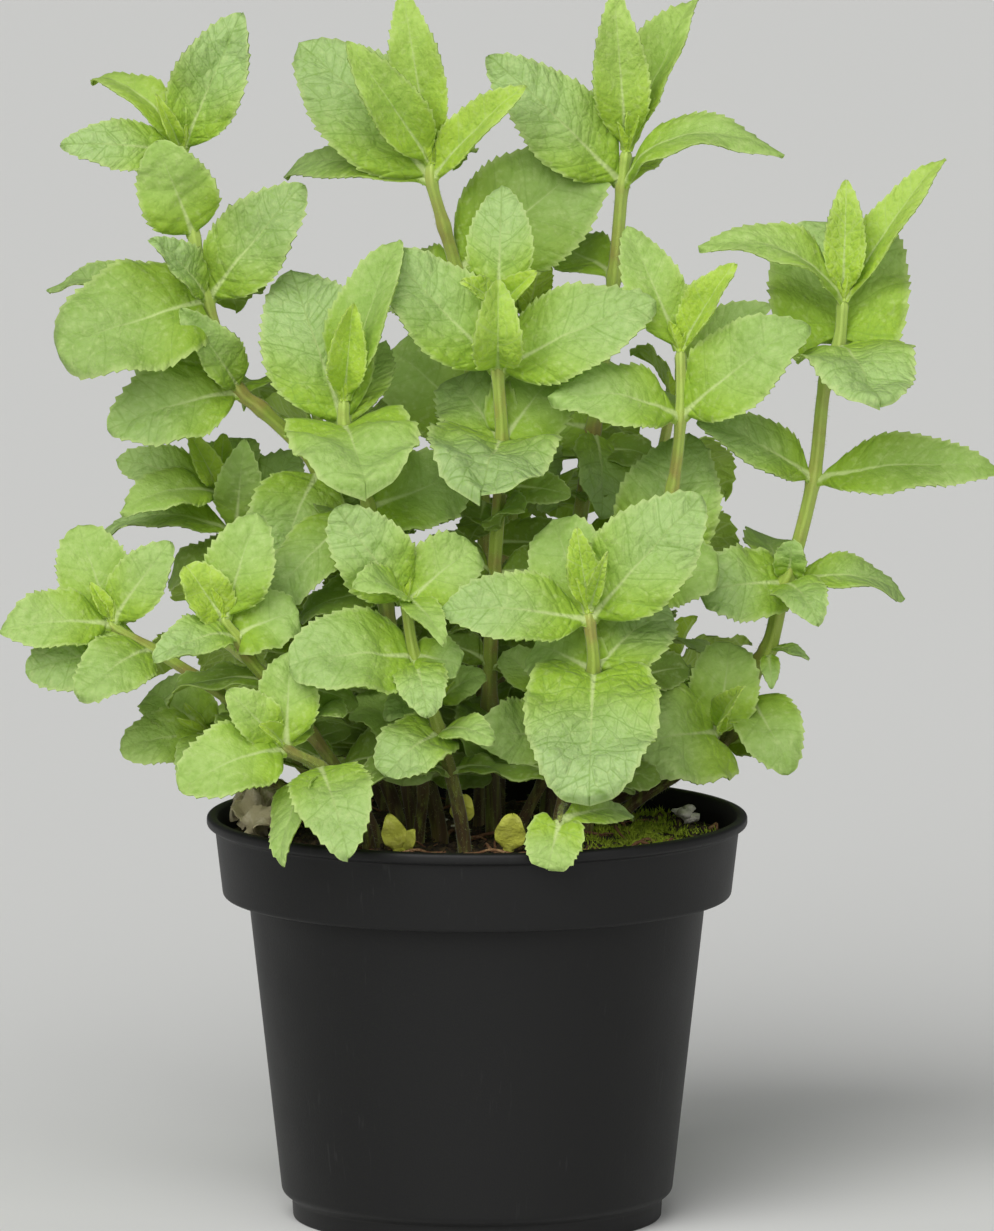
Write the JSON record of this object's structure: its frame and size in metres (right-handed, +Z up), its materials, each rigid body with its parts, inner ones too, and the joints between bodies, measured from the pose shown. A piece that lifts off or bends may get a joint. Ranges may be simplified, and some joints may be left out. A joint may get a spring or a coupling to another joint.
{
  "type": "potted mint plant",
  "caption": "Round black nursery pot filled with potting soil, with upright leafy mint shoots standing in it.",
  "frame": {"origin": "middle of the pot's flat underside", "axes": "+Z up along the pot's axis, -Y towards the side the plant is seen from, +X to that viewer's right"},
  "size_m": [0.2395, 0.1946, 0.2955],
  "materials": {
    "pot": "Moulded black polypropylene, satin, with a faint grain and slight scuffs along the rim and the collar",
    "soil": null,
    "leaf": null,
    "stem": null
  },
  "bodies": {
    "root": {"pot": "pot", "soil": "soil", "left_tall": "leaf", "left_big": "leaf", "top_centre": "leaf", "centre": "leaf", "top_right": "leaf", "right_centre": "leaf", "right_tall": "leaf", "right_low": "leaf", "front_right": "leaf", "front_centre": "leaf", "front_left": "leaf", "far_left": "leaf", "mid_left": "leaf", "left_mid": "leaf", "low_left": "leaf", "low_centre": "leaf", "low_mid": "leaf", "runner": "leaf", "back_left": "leaf", "back_centre": "leaf", "back_right": "leaf", "back_low_left": "leaf", "back_low_right": "leaf", "back_low": "leaf"}
  },
  "joints": []
}
